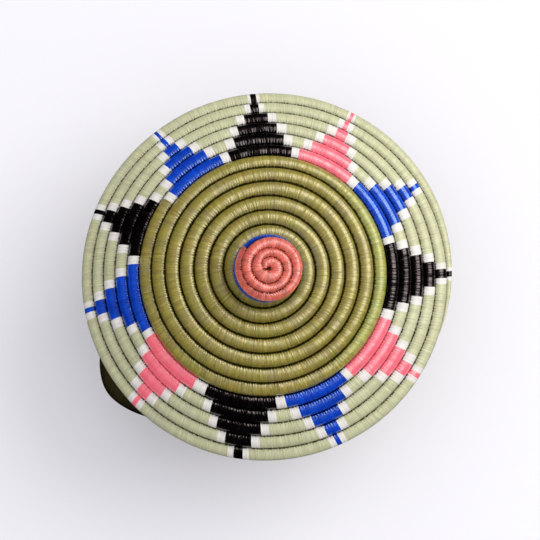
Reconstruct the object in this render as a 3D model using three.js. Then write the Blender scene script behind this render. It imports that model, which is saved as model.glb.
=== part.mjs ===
// A coiled raffia basket with two ear handles and a lift-off lid with a knob.
// Millimetres, +Z up. The handles lie along X, and the basket stands on z = 0 around the Z axis.
import * as THREE from "three";

// Body of the basket
const BODY_HEIGHT = 150;
const BASE_FLAT_RADIUS = 86;
const BELLY_RADIUS = 130;
const BELLY_HEIGHT = 84;
const MOUTH_RADIUS = 122;
const BODY_ROW_PITCH = 12.2;
const BODY_THICKNESS = 10;
const BODY_START_ANGLE = 90;
const BASE_HOLE_RADIUS = 2;
const RIM_COIL_DIAMETER = 12;

// Ear handles, stitched to the widest part of the wall
const HANDLE_REACH = 165;
const HANDLE_BAR_DIAMETER = 13;
const HANDLE_FOOT_ANGLE = 18;
const HANDLE_FOOT_HEIGHT = 80;
const HANDLE_RISE = 8;
const HANDLE_STRAIGHT = 12;
const HANDLE_BEND = 20;
const BINDING_LENGTH = 10.5;
const BINDING_THICKNESS = 2.2;
const BINDING_WRAPS = 3;

// Lid, a flat crown that turns down over a shoulder into a sloping skirt
const LID_ROW_PITCH = 12.25;
const LID_THICKNESS = 9.5;
const LID_HOLE_RADIUS = 2.5;
const LID_CENTRE_TURNS = 8.7;
const LID_BORDER_TURNS = 5.45;
const LID_TAPER_TURNS = 0.31;
const CROWN_RADIUS = 58;
const CROWN_DROP = 6.4;
const SHOULDER_RADIUS = 92;
const SHOULDER_DROP = 16.6;
const SKIRT_RADIUS = 160;
const SKIRT_DROP = 61;
const COLOUR_CHANGE_ANGLE = 104.4;

// Ring under the lid that drops into the mouth
const LOCATING_RING_DEPTH = 20;
const LOCATING_RING_THICKNESS = 8;
const LOCATING_RING_ROW_PITCH = 10;
const LOCATING_CLEARANCE = 2;

// Knob, a small coiled cup standing on the crown
const KNOB_HEIGHT = 30;
const KNOB_TOP_RADIUS = 27.6;
const KNOB_FOOT_RADIUS = 28;
const KNOB_TOP_CROWN = 1.5;
const KNOB_CORNER = 6;
const KNOB_THICKNESS = 7;
const KNOB_ROW_PITCH = 8.6;
const KNOB_HOLE_RADIUS = 1.4;
const KNOB_PINK_TURNS = 3.25;

// Gap left between pieces that touch
const GAP = 0.3;

// Facets: steps in one turn of a coil, and sides and steps of a bar
const STEPS = 30;
const KNOB_STEPS = 20;
const BAR_SIDES = 8;
const HANDLE_STEPS = 24;
const BINDING_SIDES = 12;

// A row against its full width and thickness: how thin it starts and ends, how thick it is at its
// stitched groove, and how thick and how far drawn in at a free edge
const THINNEST_ROW = 0.15;
const GROOVE_SHARE = 0.45;
const EDGE_SHARE = 0.6;
const EDGE_INSET = 0.15;

// Points across one side of a row: [place across the row, share of the way from groove to crest]
const FLAT_CREST = [[0.28, 1], [0.72, 1]];
const ROUND_CREST = [[0.22, 0.85], [0.5, 1], [0.78, 0.85]];
const PLAIN_CREST = [[0.5, 1]];

const COLOURS = {
  olive: 0x8f8a4a,
  sage: 0xbcc091,
  blue: 0x1547b8,
  pink: 0xee7f7a,
};

function raffia(colour) {
  return new THREE.MeshStandardMaterial({ color: COLOURS[colour], roughness: 0.55, metalness: 0 });
}

function named(name, geometry, colour) {
  const mesh = new THREE.Mesh(geometry, raffia(colour));
  mesh.name = name;
  return mesh;
}

// The outline that a coil follows in the half plane (radius, height), by the length along it.
// Its left side is the upper side of a lid and the inner side of the body.
class Outline {
  constructor(path) {
    this.path = path;
    this.length = path.getLength();
  }

  at(distance, offset) {
    const share = THREE.MathUtils.clamp(distance / this.length, 0, 1);
    const point = this.path.getPoint(share);
    const tangent = this.path.getTangent(share);
    return new THREE.Vector2(point.x - tangent.y * offset, point.y + tangent.x * offset);
  }
}

// A smooth path through points, level at the first one and bending steadily to the last one
function smoothPath(points) {
  const path = new THREE.Path().moveTo(points[0].x, points[0].y);
  const last = points.length - 1;
  const rise = (a, b) => (b.y - a.y) / (b.x - a.x);
  const slope = (i) => {
    if (i === 0) return 0;
    if (i === last) return 2 * rise(points[i - 1], points[i]) - slope(i - 1);
    return rise(points[i - 1], points[i + 1]);
  };
  for (let i = 1; i <= last; i += 1) {
    const [a, b] = [points[i - 1], points[i]];
    const third = (b.x - a.x) / 3;
    path.bezierCurveTo(
      a.x + third, a.y + slope(i - 1) * third,
      b.x - third, b.y - slope(i) * third,
      b.x, b.y,
    );
  }
  return path;
}

// Where each row's outer groove lies along the outline, one value per step. The first turn widens from
// nothing, and the coil ends where its row has thinned out, at the end of the outline or after its turns.
function layRows({ start, pitch, steps = STEPS, end = Infinity, turns = Infinity, taper = 1 }) {
  const grooves = [];
  const at = (step) => (step < 0 ? start : grooves[step]);
  for (let step = 0; ; step += 1) {
    const turn = step / steps;
    const inner = at(step - steps);
    const widening = THREE.MathUtils.clamp(turn, THINNEST_ROW, 1);
    const tapered = THREE.MathUtils.clamp(1 - (turns - turn) / taper, 0, 1);
    const width = Math.min(pitch * widening * (1 - tapered ** 3), end - inner);
    if (step > steps && width < THINNEST_ROW * pitch) break;
    grooves.push(inner + width);
  }
  return { at, pitch, steps, last: grooves.length - 1 };
}

// A run of a coil as one closed solid, from step first to step last of its rows. Each row is stitched to
// the row before it, so the two share their groove, and the coil turns clockwise seen from above.
function coilRun({
  outline, rows, thickness, left, right, startAngle,
  first = 0, last = rows.last, roundEnd = false,
}) {
  const positions = [];
  const faces = [];
  const butt = first > 0 ? GAP / outline.at(rows.at(first), 0).x : 0;
  const vertex = (step, distance, offset) => {
    const { x: radius, y: height } = outline.at(distance, offset);
    const angle = THREE.MathUtils.degToRad(startAngle - (360 * step) / rows.steps) - butt;
    positions.push(radius * Math.cos(angle), radius * Math.sin(angle), height);
    return positions.length / 3 - 1;
  };
  const crest = thickness / 2;
  const groove = crest * GROOVE_SHARE;
  const place = (step) => rows.at(step) + (first > 0 && step <= first ? GAP : 0);

  // Groove vertices on both sides, and a ridge vertex along a rounded free edge
  const grooves = new Map();
  for (let step = first - rows.steps; step <= last; step += 1) {
    const free = roundEnd && step > last - rows.steps;
    const inset = free ? EDGE_INSET * rows.pitch : 0;
    const height = free ? crest * EDGE_SHARE : groove;
    const distance = place(step);
    grooves.set(step, {
      left: vertex(step, distance - inset, height),
      right: vertex(step, distance - inset, -height),
      ridge: roundEnd && step >= last - rows.steps ? vertex(step, distance, 0) : null,
    });
  }

  // Each step's section: its two sides from groove to groove
  const sections = [];
  for (let step = first; step <= last; step += 1) {
    const inner = place(step - rows.steps);
    const width = place(step) - inner;
    const swell = Math.sqrt(Math.min(width / rows.pitch, 1));
    const across = (crests, side) => crests.map(([share, rise]) => {
      const height = groove + (crest - groove) * rise * swell;
      return vertex(step, inner + width * share, side * height);
    });
    const [from, to] = [grooves.get(step - rows.steps), grooves.get(step)];
    sections.push({
      left: [from.left, ...across(left, 1), to.left],
      right: [from.right, ...across(right, -1), to.right],
    });
  }

  const quad = (a, b, c, d) => faces.push(a, b, c, a, c, d);
  for (let i = 1; i < sections.length; i += 1) {
    const [before, after] = [sections[i - 1], sections[i]];
    for (let j = 1; j < before.left.length; j += 1) {
      quad(before.left[j - 1], after.left[j - 1], after.left[j], before.left[j]);
    }
    for (let j = 1; j < before.right.length; j += 1) {
      quad(before.right[j], after.right[j], after.right[j - 1], before.right[j - 1]);
    }
  }

  // The two exposed edges: the first turn's inner one and the last turn's outer one
  const edge = (from, to, outward) => {
    for (let step = from; step < to; step += 1) {
      const [a, b] = [grooves.get(step), grooves.get(step + 1)];
      const rails = a.ridge === null
        ? [[a.left, b.left], [a.right, b.right]]
        : [[a.left, b.left], [a.ridge, b.ridge], [a.right, b.right]];
      for (let j = 1; j < rails.length; j += 1) {
        const [[p, q], [s, t]] = [rails[j - 1], rails[j]];
        if (outward) quad(p, q, t, s);
        else quad(s, t, q, p);
      }
    }
  };
  edge(first - rows.steps, first, false);
  edge(last - rows.steps, last, true);

  // The two cut ends, as fans about their middle
  const cap = (step, section, facingBack) => {
    const [from, to] = [grooves.get(step - rows.steps), grooves.get(step)];
    const ring = [
      ...section.left,
      ...(to.ridge === null ? [] : [to.ridge]),
      ...[...section.right].reverse(),
      ...(from.ridge === null ? [] : [from.ridge]),
    ];
    const middle = (place(step - rows.steps) + place(step)) / 2;
    const centre = vertex(step, middle, 0);
    ring.forEach((a, i) => {
      const b = ring[(i + 1) % ring.length];
      if (facingBack) faces.push(centre, a, b);
      else faces.push(centre, b, a);
    });
  };
  cap(first, sections[0], true);
  cap(last, sections.at(-1), false);

  const geometry = new THREE.BufferGeometry();
  geometry.setAttribute("position", new THREE.Float32BufferAttribute(positions, 3));
  geometry.setIndex(faces);
  geometry.computeVertexNormals();
  return geometry;
}

// How far the upper pieces have to rise to rest on the lower ones. Rays run down from above each upper
// vertex and up from below each lower vertex, to the faces of the other pieces.
function restingHeight(uppers, lowers) {
  const far = 10 * BODY_HEIGHT;
  const solid = new THREE.MeshBasicMaterial({ side: THREE.DoubleSide });
  const meshes = (geometries) => geometries.map((geometry) => new THREE.Mesh(geometry, solid));
  const ray = new THREE.Raycaster();
  const start = new THREE.Vector3();
  let rise = -Infinity;
  const probe = (geometries, targets, direction) => {
    for (const geometry of geometries) {
      const points = geometry.getAttribute("position");
      for (let i = 0; i < points.count; i += 1) {
        start.fromBufferAttribute(points, i);
        const height = start.z;
        start.z = -direction * far;
        ray.set(start, new THREE.Vector3(0, 0, direction));
        const [hit] = ray.intersectObjects(targets);
        if (hit) rise = Math.max(rise, direction * (height - hit.point.z));
      }
    }
  };
  probe(uppers, meshes(lowers), -1);
  probe(lowers, meshes(uppers), 1);
  return rise + GAP;
}

// Body: base and wall are one coil, from the hole in the middle of the base to the level top of the wall
const wallTop = BODY_HEIGHT - RIM_COIL_DIAMETER - GAP;
const bodyMiddle = BODY_THICKNESS / 2;
const bellyLine = BELLY_RADIUS - bodyMiddle;
const mouthLine = MOUTH_RADIUS - bodyMiddle;
const bodyOutline = new Outline(
  new THREE.Path()
    .moveTo(0, bodyMiddle)
    .lineTo(BASE_FLAT_RADIUS, bodyMiddle)
    .bezierCurveTo(
      (BASE_FLAT_RADIUS + bellyLine) / 2, bodyMiddle,
      bellyLine, BELLY_HEIGHT / 3,
      bellyLine, BELLY_HEIGHT,
    )
    .bezierCurveTo(
      bellyLine, (BELLY_HEIGHT * 2 + wallTop) / 3,
      mouthLine, (BELLY_HEIGHT + wallTop * 2) / 3,
      mouthLine, wallTop,
    ),
);
const bodyRows = layRows({
  start: BASE_HOLE_RADIUS,
  pitch: BODY_ROW_PITCH,
  end: bodyOutline.length,
});
const baseTurns = Math.floor((BASE_FLAT_RADIUS - BASE_HOLE_RADIUS) / BODY_ROW_PITCH);
const baseSteps = baseTurns * STEPS;
const bodyCoil = {
  outline: bodyOutline,
  rows: bodyRows,
  thickness: BODY_THICKNESS,
  startAngle: BODY_START_ANGLE,
};
const baseCoil = coilRun({ ...bodyCoil, left: PLAIN_CREST, right: FLAT_CREST, last: baseSteps });
const wallCoil = coilRun({ ...bodyCoil, left: PLAIN_CREST, right: FLAT_CREST, first: baseSteps });

// The thicker last row that closes the mouth, eight-sided so that it sits flat on the wall's top
function rimCoil() {
  const radius = RIM_COIL_DIAMETER / 2 / Math.cos(Math.PI / BAR_SIDES);
  const profile = Array.from({ length: BAR_SIDES + 1 }, (_, i) => {
    const angle = ((i + 0.5) * 2 * Math.PI) / BAR_SIDES;
    return new THREE.Vector2(
      mouthLine + radius * Math.cos(angle),
      BODY_HEIGHT - RIM_COIL_DIAMETER / 2 + radius * Math.sin(angle),
    );
  });
  return upright(profile, STEPS);
}

// A closed profile turned about the Z axis, with its vertices on the coils' half planes
function upright(profile, segments) {
  return new THREE.LatheGeometry(profile, segments)
    .rotateX(Math.PI / 2)
    .rotateZ(THREE.MathUtils.degToRad(BODY_START_ANGLE + 90));
}

// Handle: a wrapped bar that leaves the wall squarely, bends round and comes back
const wallFace = BELLY_RADIUS + GAP;
const barRadius = HANDLE_BAR_DIAMETER / 2;

function handleBar() {
  const foot = THREE.MathUtils.degToRad(HANDLE_FOOT_ANGLE);
  const outwards = new THREE.Vector3(Math.cos(foot), Math.sin(foot), 0);
  const end = outwards.clone().multiplyScalar(wallFace).setZ(HANDLE_FOOT_HEIGHT);
  const bend = end.clone().addScaledVector(outwards, HANDLE_STRAIGHT);
  const front = new THREE.Vector3(HANDLE_REACH - barRadius, 0, HANDLE_FOOT_HEIGHT + HANDLE_RISE);
  const mirrored = (point) => new THREE.Vector3(point.x, -point.y, point.z);
  const bendOut = bend.clone().addScaledVector(outwards, HANDLE_STRAIGHT);
  const frontSide = new THREE.Vector3(front.x, HANDLE_BEND, front.z);
  const path = new THREE.CurvePath();
  path.add(new THREE.LineCurve3(end, bend));
  path.add(new THREE.CubicBezierCurve3(bend, bendOut, frontSide, front));
  path.add(new THREE.CubicBezierCurve3(
    front, mirrored(frontSide), mirrored(bendOut), mirrored(bend),
  ));
  path.add(new THREE.LineCurve3(mirrored(bend), mirrored(end)));
  const section = new THREE.Shape(
    Array.from({ length: BAR_SIDES }, (_, i) => {
      const angle = ((i + 0.5) * 2 * Math.PI) / BAR_SIDES;
      return new THREE.Vector2(barRadius * Math.cos(angle), barRadius * Math.sin(angle));
    }),
  );
  return new THREE.ExtrudeGeometry(section, {
    steps: HANDLE_STEPS,
    extrudePath: path,
    bevelEnabled: false,
  });
}

// Binding: the raffia lashed round the foot of a handle, one ridge for each wrap
function binding(side) {
  const inner = barRadius + GAP;
  const profile = [new THREE.Vector2(inner, 0), new THREE.Vector2(inner, BINDING_LENGTH)];
  const wrap = BINDING_LENGTH / BINDING_WRAPS;
  for (let i = BINDING_WRAPS; i > 0; i -= 1) {
    profile.push(new THREE.Vector2(inner + BINDING_THICKNESS / 2, i * wrap));
    profile.push(new THREE.Vector2(inner + BINDING_THICKNESS, (i - 0.5) * wrap));
  }
  profile.push(new THREE.Vector2(inner + BINDING_THICKNESS / 2, 0), profile[0].clone());
  const foot = THREE.MathUtils.degToRad(side * HANDLE_FOOT_ANGLE);
  return new THREE.LatheGeometry(profile.reverse(), BINDING_SIDES)
    .translate(0, wallFace, 0)
    .rotateZ(foot - Math.PI / 2)
    .translate(0, 0, HANDLE_FOOT_HEIGHT);
}

// Lid: one coil, olive to the colour change and sage with the star pattern from there to its tapered end
const lidOutline = new Outline(
  smoothPath([
    new THREE.Vector2(0, 0),
    new THREE.Vector2(CROWN_RADIUS, -CROWN_DROP),
    new THREE.Vector2(SHOULDER_RADIUS, -SHOULDER_DROP),
    new THREE.Vector2(SKIRT_RADIUS, -SKIRT_DROP),
  ]),
);
const lidRows = layRows({
  start: LID_HOLE_RADIUS,
  pitch: LID_ROW_PITCH,
  end: lidOutline.length,
  turns: LID_CENTRE_TURNS + LID_BORDER_TURNS,
  taper: LID_TAPER_TURNS,
});
const lidCoil = {
  outline: lidOutline,
  rows: lidRows,
  thickness: LID_THICKNESS,
  left: ROUND_CREST,
  right: PLAIN_CREST,
  startAngle: COLOUR_CHANGE_ANGLE + 360 * LID_CENTRE_TURNS,
};
const changeStep = Math.round(LID_CENTRE_TURNS * STEPS);
const lidCentreCoil = coilRun({ ...lidCoil, last: changeStep });
const lidBorderCoil = coilRun({ ...lidCoil, first: changeStep, roundEnd: true });

// Locating ring: a short upright coil stitched under the lid, inside the mouth
const mouthInside = mouthLine - RIM_COIL_DIAMETER / 2;
const ringLine = mouthInside - LOCATING_CLEARANCE - LOCATING_RING_THICKNESS / 2;
const ringOutline = new Outline(
  new THREE.Path().moveTo(ringLine, 0).lineTo(ringLine, -LOCATING_RING_DEPTH),
);
const ringRows = layRows({
  start: 0,
  pitch: LOCATING_RING_ROW_PITCH,
  end: ringOutline.length,
});
const locatingRing = coilRun({
  outline: ringOutline,
  rows: ringRows,
  thickness: LOCATING_RING_THICKNESS,
  left: PLAIN_CREST,
  right: PLAIN_CREST,
  startAngle: COLOUR_CHANGE_ANGLE,
  roundEnd: true,
});

// Knob: one coil, pink over the top and blue down the side, standing on the crown
const knobMiddle = KNOB_THICKNESS / 2;
const knobSide = KNOB_TOP_RADIUS - knobMiddle;
const knobTop = KNOB_HEIGHT - knobMiddle;
const knobOutline = new Outline(
  new THREE.Path()
    .moveTo(0, knobTop)
    .lineTo(knobSide - KNOB_CORNER, knobTop - KNOB_TOP_CROWN)
    .quadraticCurveTo(
      knobSide, knobTop - KNOB_TOP_CROWN,
      knobSide, knobTop - KNOB_TOP_CROWN - KNOB_CORNER,
    )
    .lineTo(KNOB_FOOT_RADIUS - knobMiddle, 0),
);
const knobRows = layRows({
  start: KNOB_HOLE_RADIUS,
  pitch: KNOB_ROW_PITCH,
  steps: KNOB_STEPS,
  end: knobOutline.length,
});
const knobCoil = {
  outline: knobOutline,
  rows: knobRows,
  thickness: KNOB_THICKNESS,
  left: ROUND_CREST,
  right: PLAIN_CREST,
  startAngle: COLOUR_CHANGE_ANGLE + 360 * KNOB_PINK_TURNS,
};
const knobChangeStep = Math.round(KNOB_PINK_TURNS * KNOB_STEPS);
const knobTopCoil = coilRun({ ...knobCoil, last: knobChangeStep });
const knobSideCoil = coilRun({ ...knobCoil, first: knobChangeStep });

// Assembly
const basket = new THREE.Group();

const body = new THREE.Group();
body.add(named("base_coil", baseCoil, "olive"));
body.add(named("wall_coil", wallCoil, "olive"));
const rim = rimCoil();
body.add(named("rim_coil", rim, "olive"));
for (const [name, turn] of [["right", 0], ["left", Math.PI]]) {
  const handle = new THREE.Group();
  handle.rotation.z = turn;
  handle.add(named(`${name}_handle`, handleBar(), "olive"));
  handle.add(named(`${name}_handle_binding_1`, binding(1), "olive"));
  handle.add(named(`${name}_handle_binding_2`, binding(-1), "olive"));
  body.add(handle);
}
basket.add(body);

const lid = new THREE.Group();
lid.position.z = restingHeight([lidCentreCoil, lidBorderCoil], [rim]);
lid.add(named("lid_centre_coil", lidCentreCoil, "olive"));
lid.add(named("lid_border_coil", lidBorderCoil, "sage"));
const ring = named("lid_locating_ring", locatingRing, "olive");
ring.position.z = -restingHeight([lidCentreCoil, lidBorderCoil], [locatingRing]);
lid.add(ring);
const knob = new THREE.Group();
knob.position.z = restingHeight([knobTopCoil, knobSideCoil], [lidCentreCoil]);
knob.add(named("knob_top_coil", knobTopCoil, "pink"));
knob.add(named("knob_side_coil", knobSideCoil, "blue"));
lid.add(knob);
basket.add(lid);

// The spiral's end leaves the lid a little wider on one side, so the box seen from above is centred last
const middle = new THREE.Box3().setFromObject(basket).getCenter(new THREE.Vector3());
for (const piece of basket.children) {
  piece.position.x -= middle.x;
  piece.position.y -= middle.y;
}

export default basket;
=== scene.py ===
# Looks of the coiled raffia basket: every coil, bar and lashing with its single wraps of raffia.
# Sizes are in millimetres, as in the part's source, and become metres where a mesh is made.
import math

import bpy
import numpy as np
from mathutils import Matrix, Vector


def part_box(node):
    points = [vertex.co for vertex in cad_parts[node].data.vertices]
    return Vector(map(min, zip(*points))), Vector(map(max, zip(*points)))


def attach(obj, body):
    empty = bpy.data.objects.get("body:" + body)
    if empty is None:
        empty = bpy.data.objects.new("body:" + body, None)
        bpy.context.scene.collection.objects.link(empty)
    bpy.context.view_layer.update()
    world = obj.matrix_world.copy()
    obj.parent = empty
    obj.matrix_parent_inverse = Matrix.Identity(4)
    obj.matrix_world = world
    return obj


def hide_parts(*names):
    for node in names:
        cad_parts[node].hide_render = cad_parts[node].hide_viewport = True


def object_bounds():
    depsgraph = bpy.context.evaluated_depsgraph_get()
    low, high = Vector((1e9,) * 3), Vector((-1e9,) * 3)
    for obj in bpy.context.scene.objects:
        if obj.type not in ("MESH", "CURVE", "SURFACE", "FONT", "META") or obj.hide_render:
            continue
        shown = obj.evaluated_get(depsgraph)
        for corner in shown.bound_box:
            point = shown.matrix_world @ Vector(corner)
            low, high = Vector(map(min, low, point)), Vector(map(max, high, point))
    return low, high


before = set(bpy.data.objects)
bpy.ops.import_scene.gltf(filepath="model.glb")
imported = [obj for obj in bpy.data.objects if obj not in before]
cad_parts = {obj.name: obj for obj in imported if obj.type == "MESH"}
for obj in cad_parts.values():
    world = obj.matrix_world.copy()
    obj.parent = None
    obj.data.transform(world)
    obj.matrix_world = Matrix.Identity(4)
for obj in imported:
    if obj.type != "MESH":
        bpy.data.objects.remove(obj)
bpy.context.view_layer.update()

MM = 0.001

# Body of the basket
BODY_HEIGHT = 150
BASE_FLAT_RADIUS = 86
BELLY_RADIUS = 130
BELLY_HEIGHT = 84
MOUTH_RADIUS = 122
BODY_ROW_PITCH = 12.2
BODY_THICKNESS = 10
BODY_START_ANGLE = 90
BASE_HOLE_RADIUS = 2
RIM_COIL_DIAMETER = 12
RIM_STEPS = 360

# Ear handles and the lashings round their feet
HANDLE_REACH = 165
HANDLE_BAR_DIAMETER = 13
HANDLE_FOOT_ANGLE = 18
HANDLE_FOOT_HEIGHT = 80
HANDLE_RISE = 8
HANDLE_STRAIGHT = 7
HANDLE_BEND = 19
HANDLE_SEED = 10
BINDING_LENGTH = 10.5
BINDING_THICKNESS = 2.2
BINDING_WRAPS = 3
BINDING_STEPS = 24
BINDING_SEED = 20

# Each handle: how far round the basket it stands, and how far its front is moved outwards and aside
HANDLES = {
    "right": (0, (0, 0)),
    "left": (math.pi, (2, -3)),
}

# Lid
LID_ROW_PITCH = 12.25
LID_THICKNESS = 9.5
LID_HOLE_RADIUS = 2.5
LID_CENTRE_TURNS = 8.7
LID_BORDER_TURNS = 5.45
LID_TAPER_TURNS = 0.31
LID_LAST_GAP = 0.01
CROWN = (58, -6.4)
SHOULDER = (92, -16.6)
SKIRT = (160, -61)
COLOUR_CHANGE_ANGLE = 104.4
LOCATING_RING_THICKNESS = 8
LOCATING_RING_ROW_PITCH = 10

# Knob, which leans a little off the lid's axis: its foot and its top, along X and Y
KNOB_HEIGHT = 30
KNOB_TOP_RADIUS = 27.6
KNOB_FOOT_RADIUS = 27.3
KNOB_TOP_CROWN = 1.5
KNOB_CORNER = 6
KNOB_THICKNESS = 7
KNOB_BUTTON_WIDTH = 5.5
KNOB_ROW_PITCH = 5.9
KNOB_ROW_GROWTH = 0.6
KNOB_HOLE_RADIUS = 1.4
KNOB_PINK_TURNS = 3.25
KNOB_TURNS = 5.5
KNOB_FOOT_LEAN = (0.2, -0.6)
KNOB_TOP_LEAN = (2.6, -4.1)
KNOB_EYE_SHIFT = (-1.8, -0.4)
KNOB_SIDE_SHIFT = (-0.6, 0.4)
KNOB_SIDE_SIZE = 0.985

# Wraps of raffia: their width, and how far they lean and vary. A wrap bulges between two low creases, each
# by its own share of the bulge.
WRAP = 1.0
BODY_WRAP = 1.3
KNOB_WRAP = 1.25
FEWEST_WRAPS = 4
WRAP_LEAN = 0.1
WRAP_UNEVEN = 0.3
WRAP_BULGE = 0.05
CREASE_SHARES = (-1.6, -0.4)
CREST_SHARES = (-0.2, 0.7)
KNOB_RELIEF = 3

# Stitches into the row before: their pitch, how uneven and how narrow they are, how far they stand up and
# reach, and where on the section they start
STITCH_PITCH = 2.4
STITCH_UNEVEN = 1.2
STITCH_NARROWNESS = 1.5
STITCH_RISE = 0.1
STITCH_REACH = 0.05
STITCH_START = 0.55

# Rows: how far they overlap, how full they are, and how their thickness wanders along the coil
ROW_OVERLAP = 0.012
FULLNESS = 1.12
THICKNESS_WAVE = 0.03
WAVE_LENGTH = 25
TAPER_POWER = 3
STEPS_PER_TURN = 720

# Where a coil's first row starts, and where a button has its full width, in turns
FIRST_TURN = 0.15
BUTTON_TURN = 0.3

# Directions round a row's section, dense on the side that shows and closest at the grooves
SECTION = np.radians([0, 14, 32, 52, 74, 98, 122, 144, 160, 171, 180, 216, 252, 288, 324])
BAR_SECTION = np.linspace(0, 2 * math.pi, 14, endpoint=False)

# Border of the lid: stepped triangles that point outwards, their places in degrees clockwise from the
# colour change: colour, middle of the first row, middle of the last row, width of the first row, and the
# widths of the rows against the first
SLIM = (1, 0.665, 0.385, 0.165, 0.055, 0.035)
BROAD = (1, 0.73, 0.52, 0.28, 0.095, 0.06)
MOTIFS = [
    ("blue", 13.4, 12.6, 29.8, SLIM),
    ("black", 47.1, 45.7, 29.5, BROAD),
    ("pink", 78.4, 77.6, 26.5, SLIM),
    ("blue", 109.8, 108.9, 27.6, SLIM[:5]),
    ("black", 141.7, 139, 30.4, BROAD),
    ("pink", 175.6, 173.5, 28.6, SLIM),
    ("blue", 207.2, 206.5, 28.5, SLIM),
    ("black", 241.3, 239, 31.2, BROAD),
    ("pink", 277.1, 276.1, 28.5, SLIM),
    ("blue", 309, 309.2, 29.5, SLIM),
    ("black", 339.8, 341.1, 25.5, SLIM),
]
# The row at which a motif's middle has come to its last place, and the widths of the white wraps on each
# side of a motif's rows
MIDDLE_SETTLED_ROW = 4
WHITE_EDGES = (7.1, 7, 7.1, 7.2, 5, 2.7)
BORDER_COLOURS = ("sage", "white", "blue", "pink", "black")

# Middle of the lid: the last degrees are white, and a stretch of the last row is green and fades into the
# olive by single wraps, which a large number picks
CENTRE_COLOURS = ("olive", "white", "green")
WHITE_LENGTH = 4
GREEN_FROM = 82
GREEN_TO = 200
GREEN_FADE = 25
WRAP_PICKER = 997

# Where the hand-laid rows of the lid wander: angle, distance along the outline, how far round and across
# the wandering spreads, and its size
LID_WANDER = [
    (30, 86, 34, 20, 1.2),
    (60, 126, 22, 10, 1.0),
    (92, 158, 22, 16, -1.2),
    (168, 126, 16, 9, -1.1),
    (287, 158, 28, 16, 1.0),
    (120, 126, 12, 8, 0.8),
    (210, 50, 40, 22, 0.6),
]

# How raffia of every colour varies. A pace is how fast a noise changes from wrap to wrap, a start is a
# place in the noise away from the others, and a span is the part of a value in which its effect grows.
PATCH_PACES = (0.035, 0.11, 0.07)
PATCH_STARTS = (0.0, 9.0, 18.0)
PATCH_SPAN = (0.45, 0.7)
DRIFT_PACE = 0.3
DRIFT_START = 40.0
DRIFT_SPAN = (0.35, 0.65)
FIBRE_PACES = (1.7, 5.0)
FIBRE_DETAIL = 3.0
FIBRE_SPAN = (0.3, 0.7)
FIBRE_ROUGHNESS = 0.15
FIBRE_DEPTH = 0.05
FIBRE_STRENGTH = 0.4
TILT_START = 500.0
JAG_START = 700.0
STRIP_GRAIN = 0.8

# Painted shade in the creases between wraps: which of them get it, how wide, and how much more towards the
# ends of a wrap
SHADED_CREASE_SPAN = (0.3, 1.0)
CREASE_SPAN = (0.4, 1.0)
WRAP_END_SPAN = (0.3, 0.8)
WRAP_END_SHADE = (0.75, 1.3)

# Painted shade in the grooves between rows, by the way across a row, which is 1 at its outer groove and -1 at
# its inner one:
# where the painted shade of the valleys grows, and where the painted dark line starts and ends against its
# edge
OUTER_VALLEY_SPAN = (0.25, 1.0)
INNER_VALLEY_SPAN = (-0.25, -1.0)
LINE_START = -0.08
LINE_END = 0.05

# Floor: white, and to the camera a part of it glows, so that the shadow on it stays pale. Its half size is
# in metres.
FLOOR_HALF_SIZE = 6
FLOOR_COLOUR = (251, 251, 254)
FLOOR_SHADE = (244, 242, 248)
FLOOR_GLOW = 0.16
FLOOR_ROUGHNESS = 0.9
FLOOR_SHINE = 0.1

# Light: a large lamp, in metres and watts, and a sky that is brightest almost straight above, leaning to
# the lamp. The camera sees an even backdrop.
LAMP_ELEVATION = math.radians(41)
LAMP_TURN = math.radians(-7)
LAMP_DISTANCE = 3.2
LAMP_WIDTH = 2.7
LAMP_LENGTH = 2.4
LAMP_POWER = 54
LAMP_TINT = (1, 0.985, 0.96)
SKY_COLOUR = (250, 249, 255)
SKY_STRENGTH = 1.55
SKY_ELEVATION = math.radians(83)
BACKDROP_COLOUR = (247, 246, 250)

# Camera: its distance from the lid's middle, how far it leans from straight above to the picture's right
# and down, the turn of the part's X axis in the picture, and the place of the lid's middle in a picture
# of 540 by 540 pixels
PICTURE = 540
CAMERA_DISTANCE = 1500
CAMERA_LEAN = (math.radians(0.65), math.radians(6.95))
CAMERA_TURN = math.radians(35.6)
LID_PIXEL = (265.8, 269.6)
MM_PER_PIXEL = 0.813
SENSOR = 36

UP = Vector((0, 0, 1))


# Where the pieces stand in the frame
def box_mm(node):
    return [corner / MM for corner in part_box(node)]


rim_low, rim_high = box_mm("rim_coil")
ring_low, ring_high = box_mm("lid_locating_ring")
AXIS = np.array([(rim_low.x + rim_high.x) / 2, (rim_low.y + rim_high.y) / 2, 0])
LID_LEVEL = box_mm("lid_centre_coil")[1].z - LID_THICKNESS / 2
KNOB_LEVEL = box_mm("knob_top_coil")[1].z - KNOB_HEIGHT


# Lines in the half plane of radius and height
class Outline:
    """A line in the half plane, read by the length along it."""

    def __init__(self, points):
        self.points = np.array(points, float)
        steps = np.diff(self.points, axis=0)
        self.lengths = np.concatenate([[0], np.cumsum(np.hypot(steps[:, 0], steps[:, 1]))])
        self.length = self.lengths[-1]

    def on_line(self, distance):
        return [np.interp(distance, self.lengths, self.points[:, i]) for i in (0, 1)]

    def at(self, distance, offset):
        """Radius and height at a length along the line, offset to its left side."""
        near = 0.25
        radius, height = self.on_line(distance)
        before = self.on_line(distance - near)
        after = self.on_line(distance + near)
        run, rise = after[0] - before[0], after[1] - before[1]
        size = np.maximum(np.hypot(run, rise), 1e-9)
        return radius - rise / size * offset, height + run / size * offset


def bezier(*controls, steps=80):
    """Points of a curve with three or four control points."""
    t = np.linspace(0, 1, steps + 1)[:, None]
    points = [np.array(c, float) + 0 * t for c in controls]
    while len(points) > 1:
        points = [a * (1 - t) + b * t for a, b in zip(points, points[1:])]
    return list(points[0])


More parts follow.
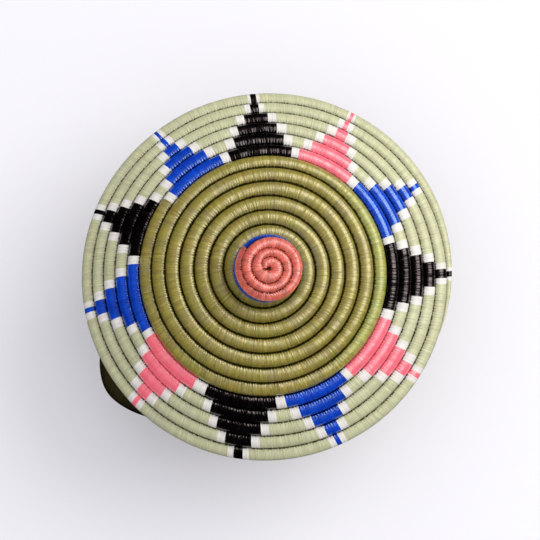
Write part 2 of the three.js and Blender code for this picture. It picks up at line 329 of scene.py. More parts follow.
def smooth_path(points):
    """A smooth line through points, level at the first and bending steadily to the last."""
    last = len(points) - 1

    def rise(a, b):
        return (b[1] - a[1]) / (b[0] - a[0])

    def slope(i):
        if i == 0:
            return 0
        if i == last:
            return 2 * rise(points[i - 1], points[i]) - slope(i - 1)
        return rise(points[i - 1], points[i + 1])

    line = []
    for i in range(last):
        (x0, y0), (x1, y1) = points[i], points[i + 1]
        third = (x1 - x0) / 3
        line += bezier(
            (x0, y0),
            (x0 + third, y0 + slope(i) * third),
            (x1 - third, y1 - slope(i + 1) * third),
            (x1, y1),
        )
    return line


class Rows:
    """Where the grooves of a coil lie along its outline, by the number of turns from its start. A coil
    with a button starts with a row that is soon that wide, and with growth its rows widen."""

    def __init__(self, start, pitch, turns=None, end=math.inf, taper=None, button=0, growth=0):
        self.start, self.pitch, self.end, self.taper = start, pitch, end, taper
        self.button, self.growth = button, growth
        self.turns = turns if turns is not None else (end - start) / pitch + 1

    def outer(self, turn):
        turn = np.maximum(turn, 0)
        groove = self.start + self.pitch * turn + self.growth * turn**2
        groove = groove + self.button * np.minimum(turn / BUTTON_TURN, 1)
        if self.taper:
            tapered = np.clip(1 - (self.turns - turn) / self.taper, 0, 1)
            groove = groove - self.pitch * tapered**TAPER_POWER
        return np.minimum(groove, self.end)

    def inner(self, turn):
        return self.outer(turn - 1)


# Meshes
def make_piece(name, points, angles, closed=False, colours=None):
    """A tube of rings of points in millimetres, two rings to a wrap of raffia. angles gives the way round
    the tube to each point of a ring, and colours the material between each ring and the next. The map
    named raffia counts the wraps along the tube and the turns round it. A wrap is smooth round the tube,
    and meets the next one at an edge."""
    rings, around = points.shape[:2]
    spans = rings if closed else rings - 1
    ring = np.arange(spans)[:, None]
    side = np.arange(around)[None, :]
    after, beside = (ring + 1) % rings, (side + 1) % around
    quads = np.stack(
        [ring * around + side, ring * around + beside, after * around + beside, after * around + side],
        axis=-1,
    ).reshape(-1, 4)
    caps = [] if closed else [np.arange(around)[::-1], (rings - 1) * around + np.arange(around)]
    along = np.arange(spans + 1) / 2
    u = np.stack([along[:-1], along[:-1], along[1:], along[1:]], axis=-1)[:, None, :]
    way = angles / (2 * math.pi)
    next_way = np.append(way[1:], 1)
    v = np.stack([way, next_way, next_way, way], axis=-1)[None]
    uv = np.stack(np.broadcast_arrays(u, v), axis=-1).reshape(-1, 4, 2)

    # The faces look outwards, so together they hold a positive volume
    vertices = points.reshape(-1, 3) * MM
    a, b, c = (vertices[quads[:, i]] for i in (0, 1, 2))
    if np.einsum("ij,ij->i", a, np.cross(b, c)).sum() < 0:
        quads, uv = quads[:, ::-1], uv[:, ::-1]
        caps = [cap[::-1] for cap in caps]

    corners = np.concatenate([quads.ravel(), *caps]).astype(np.int32)
    cap_starts = len(quads) * 4 + np.arange(len(caps)) * around
    starts = np.concatenate([np.arange(len(quads)) * 4, cap_starts]).astype(np.int32)
    cap_uv = np.zeros((len(caps) * around, 2))
    mesh = bpy.data.meshes.new(name)
    mesh.vertices.add(len(vertices))
    mesh.vertices.foreach_set("co", vertices.astype(np.float32).ravel())
    mesh.loops.add(len(corners))
    mesh.loops.foreach_set("vertex_index", corners)
    mesh.polygons.add(len(starts))
    mesh.polygons.foreach_set("loop_start", starts)
    layer = mesh.uv_layers.new(name="raffia")
    layer.data.foreach_set("uv", np.concatenate([uv.reshape(-1, 2), cap_uv]).astype(np.float32).ravel())
    if colours is not None:
        faces = np.concatenate([np.repeat(colours, around), np.full(len(caps), colours[-1])])
        mesh.polygons.foreach_set("material_index", faces.astype(np.int32))
    mesh.polygons.foreach_set("use_smooth", np.ones(len(starts), bool))
    mesh.update(calc_edges=True)
    ends = np.empty(2 * len(mesh.edges), np.int32)
    mesh.edges.foreach_get("vertices", ends)
    mesh.edges.foreach_set("use_edge_sharp", ends[0::2] // around == ends[1::2] // around)
    mesh.validate()
    piece = bpy.data.objects.new(name, mesh)
    bpy.context.scene.collection.objects.link(piece)
    return piece


def wrap_ends(length, wrap, rng):
    """Ends and middles of wraps laid along a length, one after another, each a little uneven in width."""
    count = max(int(round(length / wrap)), FEWEST_WRAPS)
    ends = np.arange(count + 1) + 0.0
    ends[1:-1] += rng.uniform(-WRAP_UNEVEN / 2, WRAP_UNEVEN / 2, count - 1)
    ends *= length / count
    places = np.empty(2 * count + 1)
    places[::2] = ends
    places[1::2] = (ends[:-1] + ends[1:]) / 2
    return places


def bulges(count, rng):
    """How far each ring stands out: low between two wraps and high on a wrap, by its own amount."""
    out = np.empty(count)
    out[::2] = rng.uniform(*CREASE_SHARES, (count + 1) // 2) * WRAP_BULGE
    out[1::2] = rng.uniform(*CREST_SHARES, count // 2) * WRAP_BULGE
    return out


def wave(places, length, rng):
    """A slow random wave along a length."""
    knots = np.arange(int(places[-1] / length) + 3)
    return np.interp(places / length, knots, rng.uniform(-1, 1, len(knots)))


def coil(name, outline, rows, thickness, start_angle, first, last, wrap, seed,
         level=0, side=1, colour_of=None, relief=1, fullness=FULLNESS, wander=None):
    """A coil of wrapped fibre from turn first to turn last. side is the side of the outline that shows,
    relief is how strongly wraps and stitches stand out, colour_of gives the material of the wrap at a turn,
    and wander how far a place is moved along the outline."""
    rng = np.random.default_rng(seed)
    turns = np.linspace(first, last, int((last - first) * STEPS_PER_TURN) + 2)
    middle = (rows.inner(turns) + rows.outer(turns)) / 2
    radius = outline.at(middle, side * thickness / 2)[0]
    lengths = np.concatenate([[0], np.cumsum(2 * math.pi * (radius[1:] + radius[:-1]) / 2 * np.diff(turns))])
    places = wrap_ends(lengths[-1], wrap, rng)
    turn = np.interp(places, lengths, turns)[:, None]

    x, y = np.cos(SECTION), np.sin(SECTION)
    inner, outer = rows.inner(turn), rows.outer(turn)
    width = outer - inner
    swell = np.sqrt(np.clip(width / rows.pitch, 0, 1))
    crest = fullness * thickness / 2 * swell * (1 + THICKNESS_WAVE * wave(places, WAVE_LENGTH, rng)[:, None])
    out = relief * bulges(len(places), rng)[:, None] * swell

    # Stitches: now and then a wrap reaches over the groove into the row before
    phase = 2 * math.pi * places / STITCH_PITCH + STITCH_UNEVEN * wave(places, STITCH_PITCH * 2, rng)
    stitch = (0.5 + 0.5 * np.cos(phase))[:, None] ** STITCH_NARROWNESS
    near_groove = np.clip((-x - STITCH_START) / (1 - STITCH_START), 0, 1) * (y >= 0)
    reach = relief * stitch * near_groove * swell

    across = 0.5 + x * (0.5 + ROW_OVERLAP) * (1 + 2 * out / rows.pitch) - STITCH_REACH * reach
    rise = y * (1 + out / crest) + STITCH_RISE * reach * (1 - y)
    lean = -WRAP_LEAN * width * x / 2
    distance = inner + width * across
    if wander is not None:
        distance = distance + wander(start_angle - 360 * turn, distance)
    radius, height = outline.at(distance, side * crest * rise)
    angle = math.radians(start_angle) - 2 * math.pi * turn - lean / np.maximum(radius, 1)
    points = np.stack([radius * np.cos(angle), radius * np.sin(angle), height + level], axis=-1) + AXIS
    colours = None
    if colour_of is not None:
        colours = np.repeat([colour_of(t) for t in turn[1::2, 0]], 2)
    return make_piece(name, points, SECTION, colours=colours)


def bar(name, path, up, half_width, half_height, wrap, seed, closed=False):
    """A wrapped bar along a path. half_height is its size along up, and half_width across it."""
    rng = np.random.default_rng(seed)
    path = np.array(path, float)
    steps = np.linalg.norm(np.diff(path, axis=0), axis=1)
    lengths = np.concatenate([[0], np.cumsum(steps)])
    places = wrap_ends(lengths[-1], wrap, rng)
    centre = np.stack([np.interp(places, lengths, path[:, i]) for i in range(3)], axis=-1)
    if closed:
        centre, places = centre[:-1], places[:-1]
        tangent = np.roll(centre, -1, axis=0) - np.roll(centre, 1, axis=0)
    else:
        tangent = np.gradient(centre, axis=0)
    tangent /= np.linalg.norm(tangent, axis=1)[:, None]
    across = np.cross(tangent, np.array(up, float))
    across /= np.linalg.norm(across, axis=1)[:, None]
    high = np.cross(across, tangent)
    out = bulges(len(places) + closed, rng)[:len(places), None, None]
    x, y = np.cos(BAR_SECTION)[None, :, None], np.sin(BAR_SECTION)[None, :, None]
    lean = WRAP_LEAN * half_width * x * tangent[:, None, :]
    points = centre[:, None, :] + lean + AXIS
    points = points + across[:, None, :] * x * (half_width + out) + high[:, None, :] * y * (half_height + out)
    return make_piece(name, points, BAR_SECTION, closed=closed)


# Materials
def linear(red, green, blue):
    """A colour given as it shows on a screen, from 0 to 255, as Blender's shaders take it."""
    return [((c / 255 + 0.055) / 1.055) ** 2.4 for c in (red, green, blue)] + [1]


class Nodes:
    """The nodes of a material or a world, added one call each. An input is a number, a colour, a vector or
    another node's output."""

    def __init__(self, owner):
        owner.use_nodes = True
        self.tree = owner.node_tree

    def plug(self, node, inputs):
        for name, value in inputs.items():
            socket = node.inputs[name]
            if isinstance(value, bpy.types.NodeSocket):
                self.tree.links.new(value, socket)
            elif socket.type == "VECTOR":
                socket.default_value = value[:3]
            else:
                socket.default_value = value

    def add(self, kind, inputs=None, output=0, **settings):
        node = self.tree.nodes.new(kind)
        for name, value in settings.items():
            setattr(node, name, value)
        self.plug(node, inputs or {})
        return node.outputs[output]

    def math(self, operation, a, b=0.0):
        return self.add("ShaderNodeMath", {0: a, 1: b}, operation=operation)

    def plus(self, a, b):
        return self.math("ADD", a, b)

    def minus(self, a, b):
        return self.math("SUBTRACT", a, b)

    def times(self, a, b):
        return self.math("MULTIPLY", a, b)

    def scaled(self, vector, share):
        return self.add("ShaderNodeVectorMath", {0: vector, "Scale": share}, operation="SCALE")

    def ramp(self, value, span, low, high):
        """A smooth change from low to high while a value crosses a span."""
        inputs = {"Value": value, "From Min": span[0], "From Max": span[1], "To Min": low, "To Max": high}
        return self.add("ShaderNodeMapRange", inputs, interpolation_type="SMOOTHSTEP")

    def mix_colours(self, share, a, b):
        """The mix node's colours are its inputs 6 and 7, and its output 2."""
        return self.add("ShaderNodeMix", {"Factor": share, 6: a, 7: b}, output=2, data_type="RGBA")

    def show(self, output, light, seen, share=1.0):
        """Lights the scene with one shader, and mixes a share of another into what the camera sees."""
        to_camera = self.times(self.add("ShaderNodeLightPath", output="Is Camera Ray"), share)
        mixed = self.add("ShaderNodeMixShader", {0: to_camera, 1: light, 2: seen})
        self.plug(self.tree.nodes[output], {"Surface": mixed})


def raffia(name, main, *others, shade=0.4, drift=0.2, streak=0.3, crease=0.6, groove=0.1, edge=0.8,
           jag=0.09, valley=0.5, tilt=0.15, roughness=0.5, ior=2.2, gloss=(255, 255, 255), glow=0.0):
    """Raffia wrapped over a core. Each wrap has its own shade of the main colour, which drifts along the
    coil and has stretches of the others, and fine streaks run along it. shade, drift and streak are the
    shares by which these vary. Painted shade darkens some creases between wraps, by up to crease, the foot
    of a row, down to valley of its colour on the outer side and half as far on the inner side, and a line
    between two rows, down to groove of its colour, which starts about edge of the way across and is jagged
    by jag; that line also dims what the wraps reflect. tilt is how far single wraps lie askew, in
    millimetres, gloss is the colour of what they reflect, and glow is a painted glow in the main colour."""
    material = bpy.data.materials.new(name)
    nodes = Nodes(material)
    place = nodes.add("ShaderNodeUVMap", uv_map="raffia")
    u, v = nodes.add("ShaderNodeSeparateXYZ", {0: place}).node.outputs[:2]

    def own(value):
        """A random number for each whole step of a value."""
        step = nodes.math("FLOOR", value)
        return nodes.add("ShaderNodeTexWhiteNoise", {"W": step}, noise_dimensions="1D")

    def noise(pace, start, way, detail=2.0):
        """A noise along the coil and round it."""
        point = nodes.add("ShaderNodeCombineXYZ", {0: nodes.plus(nodes.times(u, pace), start), 1: way})
        return nodes.add("ShaderNodeTexNoise", {"Vector": point, "Scale": 1.0, "Detail": detail})

    from_middle = nodes.minus(nodes.math("FRACT", u), 0.5)
    to_crease = nodes.times(nodes.math("ABSOLUTE", from_middle), 2.0)
    across = nodes.math("COSINE", nodes.times(v, 2 * math.pi))
    to_groove = nodes.math("ABSOLUTE", across)
    fibre = noise(FIBRE_PACES[0], 0.0, nodes.times(v, FIBRE_PACES[1]), FIBRE_DETAIL)

    colour = linear(*main)
    for other, pace, start in zip(others, PATCH_PACES, PATCH_STARTS):
        patches = nodes.ramp(noise(pace, start, v), PATCH_SPAN, 0.0, 1.0)
        colour = nodes.mix_colours(patches, colour, linear(*other))

    # Painted shade in some creases between wraps, stronger towards a wrap's ends
    painted_crease_shade = nodes.ramp(own(nodes.plus(u, 0.5)), SHADED_CREASE_SPAN, 0.0, crease)
    painted_crease_shade = nodes.times(painted_crease_shade, nodes.ramp(to_crease, CREASE_SPAN, 0.0, 1.0))
    painted_crease_shade = nodes.times(painted_crease_shade, nodes.ramp(to_groove, WRAP_END_SPAN, *WRAP_END_SHADE))
    # Painted shade: a dark jagged line along the groove between two rows
    jagged = nodes.minus(to_groove, nodes.times(own(nodes.plus(u, JAG_START)), jag))
    painted_groove_shade = nodes.ramp(jagged, (edge + LINE_START, edge + LINE_END), 1.0, groove)
    # The base colour is each wrap's own tone, drift and streaks, darkened by painted shade in creases, at the
    # foot of each row and in the groove line
    light = nodes.plus(nodes.times(own(u), shade), 1 - shade / 2)
    for share in (
        nodes.ramp(noise(DRIFT_PACE, DRIFT_START, v), DRIFT_SPAN, 1 - drift, 1 + drift),
        nodes.ramp(fibre, FIBRE_SPAN, 1 - streak, 1 + streak),
        nodes.minus(1.0, painted_crease_shade),
        nodes.ramp(across, OUTER_VALLEY_SPAN, 1.0, valley),
        nodes.ramp(across, INNER_VALLEY_SPAN, 1.0, (1 + valley) / 2),
        painted_groove_shade,
    ):
        light = nodes.times(light, share)

    rough, smooth = roughness * (1 + FIBRE_ROUGHNESS), roughness * (1 - FIBRE_ROUGHNESS)
    slope = nodes.times(nodes.minus(own(nodes.plus(u, TILT_START)), 0.5), from_middle)
    tilted = nodes.add("ShaderNodeBump", {"Distance": tilt * MM, "Height": slope})
    fibred = nodes.add("ShaderNodeBump", {
        "Strength": FIBRE_STRENGTH, "Distance": FIBRE_DEPTH * MM, "Height": fibre, "Normal": tilted,
    })
    nodes.plug(nodes.tree.nodes["Principled BSDF"], {
        "Base Color": nodes.scaled(colour, light),
        "Roughness": nodes.ramp(fibre, FIBRE_SPAN, rough, smooth),
        "IOR": ior,
        "Anisotropic": STRIP_GRAIN,
        "Tangent": nodes.add("ShaderNodeTangent", direction_type="UV_MAP", uv_map="raffia"),
        # The painted shade of the groove line also dims the reflection there
        "Specular Tint": nodes.scaled(linear(*gloss), painted_groove_shade),
        # glow adds a painted glow in the main colour
        "Emission Color": linear(*main),
        "Emission Strength": glow,
        "Normal": fibred,
    })
    return material


MATERIALS = {
    "olive": raffia(
        "olive raffia", (188, 173, 68), (181, 172, 68), (187, 165, 74), (182, 167, 92),
        shade=0.42, drift=0.1, streak=0.25, crease=0.62, groove=0.09, edge=0.79, valley=0.34, tilt=0.5,
        roughness=0.42, ior=4.3, gloss=(255, 248, 214),
    ),
    "green": raffia(
        "green raffia", (190, 188, 84), (192, 184, 76), (182, 188, 98),
        shade=0.3, drift=0.1, streak=0.2, crease=0.4, edge=0.79, valley=0.4, tilt=0.4,
        roughness=0.44, ior=3.2, gloss=(250, 255, 220),
    ),
    # Olive darkened as painted shade, for the handles and lashings, which sit in the lid's shadow
    "olive in painted shade": raffia(
        "olive raffia in painted shade", (52, 46, 18), (46, 43, 18),
        shade=0.5, drift=0.1, streak=0.2, crease=0.5, groove=0.02, valley=0.3, tilt=0.6,
        roughness=0.4, ior=2.0, gloss=(255, 246, 208),
    ),
    "sage": raffia(
        "sage raffia", (219, 219, 175), (220, 220, 181), (215, 214, 168), (217, 220, 175),
        shade=0.15, drift=0.05, streak=0.1, crease=0.36, groove=0.03, edge=0.86, valley=0.54, tilt=0.35,
        ior=2.3, gloss=(255, 255, 225),
    ),
    "blue": raffia(
        "blue raffia", (0, 74, 222), (0, 64, 206), (0, 86, 236),
        shade=0.3, drift=0.1, streak=0.15, crease=0.3, groove=0.03, edge=0.84, valley=0.4, tilt=0.18,
        roughness=0.24, ior=3.1, gloss=(196, 226, 255),
    ),
    # Pink, and coral a little, give off a painted glow
    "pink": raffia(
        "pink raffia", (255, 108, 126), (255, 100, 118), (255, 126, 138),
        shade=0.12, drift=0.06, streak=0.1, crease=0.2, groove=0.04, edge=0.86, valley=0.55, tilt=0.35,
        roughness=0.4, ior=3.6, glow=0.28,
    ),
    "coral": raffia(
        "coral raffia", (255, 116, 94), (255, 102, 84), (255, 134, 112),
        shade=0.3, streak=0.2, crease=0.35, groove=0.02, edge=0.78, jag=0.2, tilt=0.5,
        roughness=0.42, ior=3.4, glow=0.08,
    ),
    "black": raffia(
        "black raffia", (8, 4, 5), (6, 3, 4), (14, 9, 12),
        shade=0.8, tilt=0.7, roughness=0.25, gloss=(255, 238, 238),
    ),
    "white": raffia(
        "white raffia", (246, 242, 234), (242, 237, 228), (247, 244, 232),
        shade=0.08, drift=0.03, streak=0.06, crease=0.3, groove=0.05, edge=0.86, valley=0.68,
        ior=1.5,
    ),
}


def dress(piece, body, node, slot, *colours):
    """Gives a piece its materials and puts it in the place of its node."""
    for colour in colours:
        piece.data.materials.append(MATERIALS[colour])
    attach(piece, body)
    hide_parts(node)


# Basket body
wall_top = BODY_HEIGHT - RIM_COIL_DIAMETER
body_middle = BODY_THICKNESS / 2
belly_line = BELLY_RADIUS - body_middle
mouth_line = MOUTH_RADIUS - body_middle
body_outline = Outline(
    [(0, body_middle)]
    + bezier(
        (BASE_FLAT_RADIUS, body_middle),
        ((BASE_FLAT_RADIUS + belly_line) / 2, body_middle),
        (belly_line, BELLY_HEIGHT / 3),
        (belly_line, BELLY_HEIGHT),
    )
    + bezier(
        (belly_line, BELLY_HEIGHT),
        (belly_line, (BELLY_HEIGHT * 2 + wall_top) / 3),
        (mouth_line, (BELLY_HEIGHT + wall_top * 2) / 3),
        (mouth_line, wall_top),
    )[1:]
)
body_rows = Rows(BASE_HOLE_RADIUS, BODY_ROW_PITCH, end=body_outline.length)
base_turns = (BASE_FLAT_RADIUS - BASE_HOLE_RADIUS) // BODY_ROW_PITCH
body_coil = {
    "outline": body_outline,
    "rows": body_rows,
    "thickness": BODY_THICKNESS,
    "start_angle": BODY_START_ANGLE,
    "wrap": BODY_WRAP,
    "side": -1,
}
base = coil("base", first=FIRST_TURN, last=base_turns, seed=1, **body_coil)
dress(base, "basket", "base_coil", "olive_raffia", "olive")
wall = coil("wall", first=base_turns, last=body_rows.turns - FIRST_TURN, seed=2, **body_coil)
dress(wall, "basket", "wall_coil", "olive_raffia", "olive")

# Rim: a thicker row that closes the mouth
circle = np.linspace(0, 2 * math.pi, RIM_STEPS + 1)
rim_radius = RIM_COIL_DIAMETER / 2
rim_height = 0 * circle + BODY_HEIGHT - rim_radius
rim_path = np.stack([mouth_line * np.cos(circle), mouth_line * np.sin(circle), rim_height], axis=-1)
rim = bar("rim", rim_path, UP, rim_radius, rim_radius, wrap=BODY_WRAP, seed=3, closed=True)
dress(rim, "basket", "rim_coil", "olive_raffia", "olive")


# Handles and the lashings round their feet
def handle_foot(sign):
    """Where a foot leaves the wall and which way, with the sign of its side of the handle."""
    angle = math.radians(sign * HANDLE_FOOT_ANGLE)
    outwards = Vector((math.cos(angle), math.sin(angle), 0))
    return outwards * BELLY_RADIUS + UP * HANDLE_FOOT_HEIGHT, outwards


def handle_path(slip):
    """The middle line of a handle, from foot to foot."""
    end, outwards = handle_foot(1)
    bend = end + outwards * HANDLE_STRAIGHT
    front = Vector((HANDLE_REACH - HANDLE_BAR_DIAMETER / 2 + slip[0], 0, HANDLE_FOOT_HEIGHT + HANDLE_RISE))
    front_side = Vector((front.x, HANDLE_BEND, front.z))
    half = [end] + bezier(bend, bend + outwards * HANDLE_STRAIGHT, front_side, front)
    path = [tuple(point) for point in half]
    path += [(x, -y, z) for x, y, z in path[-2::-1]]
    return [(x, y + slip[1] * (x - end.x) / (front.x - end.x), z) for x, y, z in path]


def lashing_path(end, outwards, strip):
    """The middle line of a strip wound round a foot."""
    sideways = UP.cross(outwards)
    radius = HANDLE_BAR_DIAMETER / 2 + BINDING_THICKNESS / 2
    whole = 2 * math.pi * BINDING_WRAPS
    return [
        end
        + outwards * (strip / 2 + (BINDING_LENGTH - strip) * winding / whole)
        + (sideways * math.cos(winding) + UP * math.sin(winding)) * radius
        for winding in np.linspace(0, whole, BINDING_STEPS * BINDING_WRAPS + 1)
    ]


def make_handle(number, side, turn, slip):
    """A handle is laid out at the right, and turned to its place."""
    turning = Matrix.Rotation(turn, 3, "Z")

    def turned(points):
        return [tuple(turning @ Vector(point)) for point in points]

    radius = HANDLE_BAR_DIAMETER / 2
    handle = bar(f"{side}_bar", turned(handle_path(slip)), UP, radius, radius, WRAP, HANDLE_SEED + number)
    # The handle and its lashings are olive darkened as painted shade
    dress(handle, "basket", f"{side}_handle", "olive_raffia", "olive in painted shade")
    strip = BINDING_LENGTH / BINDING_WRAPS
    for foot, sign in ((1, 1), (2, -1)):
        end, outwards = handle_foot(sign)
        lashing = bar(
            f"{side}_lashing_{foot}", turned(lashing_path(end, outwards, strip)), turning @ outwards,
            BINDING_THICKNESS / 2, strip / 2, 2 * WRAP, BINDING_SEED + 2 * number + foot,
        )
        dress(lashing, "basket", f"{side}_handle_binding_{foot}", "olive_raffia", "olive in painted shade")


for number, (side, (turn, slip)) in enumerate(HANDLES.items()):
    make_handle(number, side, turn, slip)

# Lid
lid_outline = Outline(smooth_path([(0, 0), CROWN, SHOULDER, SKIRT]))
lid_rows = Rows(
    LID_HOLE_RADIUS, LID_ROW_PITCH, turns=LID_CENTRE_TURNS + LID_BORDER_TURNS, taper=LID_TAPER_TURNS,
)


def signed_angle(angle):
    """An angle in degrees, brought between -180 and 180."""
    return (angle + 180) % 360 - 180


def lid_wander(angle, distance):
    """How far the lid's rows lie from an even spiral."""
    out = 0
    for middle, radius, spread, depth, amount in LID_WANDER:
        away = signed_angle(angle - middle)
        out = out + amount * np.exp(-((away / spread) ** 2) - ((distance - radius) / depth) ** 2)
    return out


def centre_colour(turn):
    """Which of its colours the wrap at a turn of the lid's middle coil has."""
    angle = 360 * (turn - LID_CENTRE_TURNS + 1)
    green = min(angle - GREEN_FROM, GREEN_TO - angle) / GREEN_FADE
    found = "olive"
    if angle > 360 - WHITE_LENGTH:
        found = "white"
    elif green > (turn * WRAP_PICKER) % 1:
        found = "green"
    return CENTRE_COLOURS.index(found)


def border_colour(turn):
    """Which of the border's colours the wrap at a turn of the lid's coil has."""
    row = int(turn - LID_CENTRE_TURNS)
    angle = 360 * (turn - LID_CENTRE_TURNS - row)
    settled = min(row / MIDDLE_SETTLED_ROW, 1)
    radius = lid_outline.at((lid_rows.inner(turn) + lid_rows.outer(turn)) / 2, 0)[0]
    edge = math.degrees(WHITE_EDGES[row] / radius)
    found = "sage"
    for colour, first_middle, last_middle, width, row_shares in MOTIFS:
        middle = first_middle + (last_middle - first_middle) * settled
        motif_row = row + (angle - middle > 180)
        if motif_row >= len(row_shares):
            continue
        half = width * row_shares[motif_row] / 2
        away = abs(signed_angle(angle - middle))
        if away < half:
            return BORDER_COLOURS.index(colour)
        if away < half + edge:
            found = "white"
    return BORDER_COLOURS.index(found)


lid_coil = {
    "outline": lid_outline,
    "rows": lid_rows,
    "thickness": LID_THICKNESS,
    "start_angle": COLOUR_CHANGE_ANGLE + 360 * LID_CENTRE_TURNS,
    "wrap": WRAP,
    "level": LID_LEVEL,
    "wander": lid_wander,
}
centre = coil(
    "lid_centre", first=FIRST_TURN, last=LID_CENTRE_TURNS, seed=4,
    colour_of=centre_colour, **lid_coil,
)
dress(centre, "lid", "lid_centre_coil", "olive_raffia", *CENTRE_COLOURS)
border = coil(
    "lid_border", first=LID_CENTRE_TURNS, last=lid_rows.turns - LID_LAST_GAP, seed=5,
    colour_of=border_colour, **lid_coil,
)
dress(border, "lid", "lid_border_coil", "sage_raffia", *BORDER_COLOURS)

# Ring under the lid
ring_line = (ring_high.x - ring_low.x) / 2 - LOCATING_RING_THICKNESS / 2
ring_outline = Outline([(ring_line, ring_high.z), (ring_line, ring_low.z)])
ring_rows = Rows(0, LOCATING_RING_ROW_PITCH, end=ring_outline.length)
ring = coil(
    "lid_ring", ring_outline, ring_rows, LOCATING_RING_THICKNESS, COLOUR_CHANGE_ANGLE,
    first=FIRST_TURN, last=ring_rows.turns - FIRST_TURN, wrap=BODY_WRAP, seed=6,
)
dress(ring, "lid", "lid_locating_ring", "olive_raffia", "olive")

# Knob
knob_middle = KNOB_THICKNESS / 2
knob_side_line = KNOB_TOP_RADIUS - knob_middle
knob_edge = KNOB_HEIGHT - knob_middle - KNOB_TOP_CROWN
knob_outline = Outline(
    [(0, KNOB_HEIGHT - knob_middle)]
    + bezier(
        (knob_side_line - KNOB_CORNER, knob_edge),
        (knob_side_line, knob_edge),
        (knob_side_line, knob_edge - KNOB_CORNER),
        steps=20,
    )
    + [(KNOB_FOOT_RADIUS - knob_middle, 0)]
)
knob_rows = Rows(
    KNOB_HOLE_RADIUS, KNOB_ROW_PITCH, turns=KNOB_TURNS, end=knob_outline.length,
    button=KNOB_BUTTON_WIDTH, growth=KNOB_ROW_GROWTH,
)
knob_coil = {
    "outline": knob_outline,
    "rows": knob_rows,
    "thickness": KNOB_THICKNESS,
    "start_angle": COLOUR_CHANGE_ANGLE + 360 * KNOB_PINK_TURNS,
    "wrap": KNOB_WRAP,
    "level": KNOB_LEVEL,
    "relief": KNOB_RELIEF,
    "fullness": 1,
}


def lean_knob(piece, size=1, shift=(0, 0)):
    """Moves each point of a knob's coil with the knob's lean, and those near its axis with its eye. size
    and shift are those of the coil against the knob."""
    for vertex in piece.data.vertices:
        up = (vertex.co.z / MM - KNOB_LEVEL) / KNOB_HEIGHT
        from_axis = [vertex.co[i] / MM - AXIS[i] for i in (0, 1)]
        inwards = max(1 - math.hypot(*from_axis) / KNOB_TOP_RADIUS, 0)
        for i in (0, 1):
            lean = KNOB_FOOT_LEAN[i] * (1 - up) + KNOB_TOP_LEAN[i] * up + shift[i]
            lean += KNOB_EYE_SHIFT[i] * inwards
            vertex.co[i] = MM * (AXIS[i] + size * from_axis[i] + lean)


knob_top = coil("knob_top", first=FIRST_TURN, last=KNOB_PINK_TURNS, seed=7, **knob_coil)
lean_knob(knob_top)
dress(knob_top, "lid", "knob_top_coil", "pink_raffia", "coral")
knob_side = coil("knob_side", first=KNOB_PINK_TURNS, last=knob_rows.turns - FIRST_TURN, seed=8, **knob_coil)
lean_knob(knob_side, KNOB_SIDE_SIZE, KNOB_SIDE_SHIFT)
dress(knob_side, "lid", "knob_side_coil", "blue_raffia", "blue")


# Floor, light and camera
def make_floor(level):
    far = FLOOR_HALF_SIZE
    corners = [(-far, -far, level), (far, -far, level), (far, far, level), (-far, far, level)]
    mesh = bpy.data.meshes.new("floor")
    mesh.from_pydata(corners, [], [(0, 1, 2, 3)])
    material = bpy.data.materials.new("floor")
    nodes = Nodes(material)
    surface = nodes.tree.nodes["Principled BSDF"]
    nodes.plug(surface, {
        "Base Color": linear(*FLOOR_COLOUR),
        "Roughness": FLOOR_ROUGHNESS,
        "Specular IOR Level": FLOOR_SHINE,
    })
    glow = nodes.add("ShaderNodeEmission", {"Color": linear(*FLOOR_SHADE), "Strength": 1.0})
    nodes.show("Material Output", surface.outputs[0], glow, FLOOR_GLOW)
    mesh.materials.append(material)
    floor = bpy.data.objects.new("floor", mesh)
    floor.visible_glossy = False
    bpy.context.scene.collection.objects.link(floor)


def towards_lamp(elevation):
    """The direction with an elevation on the lamp's side."""
    level = math.cos(elevation)
    return Vector((level * math.cos(LAMP_TURN), level * math.sin(LAMP_TURN), math.sin(elevation)))


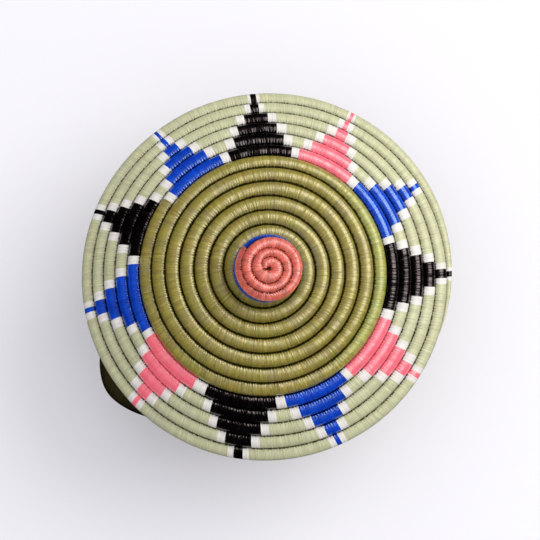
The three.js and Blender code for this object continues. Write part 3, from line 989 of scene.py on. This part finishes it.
def make_lamp():
    lamp = bpy.data.lights.new("window", "AREA")
    lamp.shape = "RECTANGLE"
    lamp.size = LAMP_WIDTH
    lamp.size_y = LAMP_LENGTH
    lamp.energy = LAMP_POWER
    lamp.color = LAMP_TINT
    holder = bpy.data.objects.new("window", lamp)
    towards = towards_lamp(LAMP_ELEVATION)
    holder.location = towards * LAMP_DISTANCE
    holder.rotation_mode = "QUATERNION"
    holder.rotation_quaternion = towards.to_track_quat("Z", "Y")
    bpy.context.scene.collection.objects.link(holder)


def make_sky():
    """The sky's light grows with the square of a direction's nearness to its brightest point."""
    world = bpy.data.worlds.new("sky")
    world.cycles_visibility.glossy = False
    bpy.context.scene.world = world
    nodes = Nodes(world)
    direction = nodes.add("ShaderNodeTexCoord", output="Generated")
    vectors = {0: direction, 1: towards_lamp(SKY_ELEVATION)}
    nearness = nodes.add("ShaderNodeVectorMath", vectors, output="Value", operation="DOT_PRODUCT")
    share = nodes.add("ShaderNodeMapRange", {"Value": nearness})
    strength = nodes.times(nodes.times(share, share), SKY_STRENGTH)
    sky = nodes.tree.nodes["Background"]
    nodes.plug(sky, {"Color": linear(*SKY_COLOUR), "Strength": strength})
    backdrop = nodes.add("ShaderNodeBackground", {"Color": linear(*BACKDROP_COLOUR)})
    nodes.show("World Output", sky.outputs[0], backdrop)


def make_camera():
    level_right = Vector((math.cos(CAMERA_TURN), -math.sin(CAMERA_TURN), 0))
    level_down = Vector((-math.sin(CAMERA_TURN), -math.cos(CAMERA_TURN), 0))
    lean_right, lean_down = (math.tan(lean) for lean in CAMERA_LEAN)
    back = (UP + level_right * lean_right + level_down * lean_down).normalized()
    up = back.cross(level_right).normalized()
    right = up.cross(back)
    aim = Vector((*AXIS[:2], LID_LEVEL))
    aim = aim + right * (PICTURE / 2 - LID_PIXEL[0]) * MM_PER_PIXEL
    aim = aim + up * (LID_PIXEL[1] - PICTURE / 2) * MM_PER_PIXEL
    camera = bpy.data.objects.new("camera", bpy.data.cameras.new("camera"))
    camera.data.sensor_width = SENSOR
    camera.data.lens = CAMERA_DISTANCE / MM_PER_PIXEL / PICTURE * SENSOR
    place = Matrix((right, up, back)).transposed().to_4x4()
    place.translation = (aim + back * CAMERA_DISTANCE) * MM
    camera.matrix_world = place
    bpy.context.scene.collection.objects.link(camera)
    bpy.context.scene.camera = camera


model_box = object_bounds()
make_floor(min(model_box[0][2], 0))
make_lamp()
make_sky()
make_camera()
bpy.context.scene.view_settings.view_transform = "Standard"
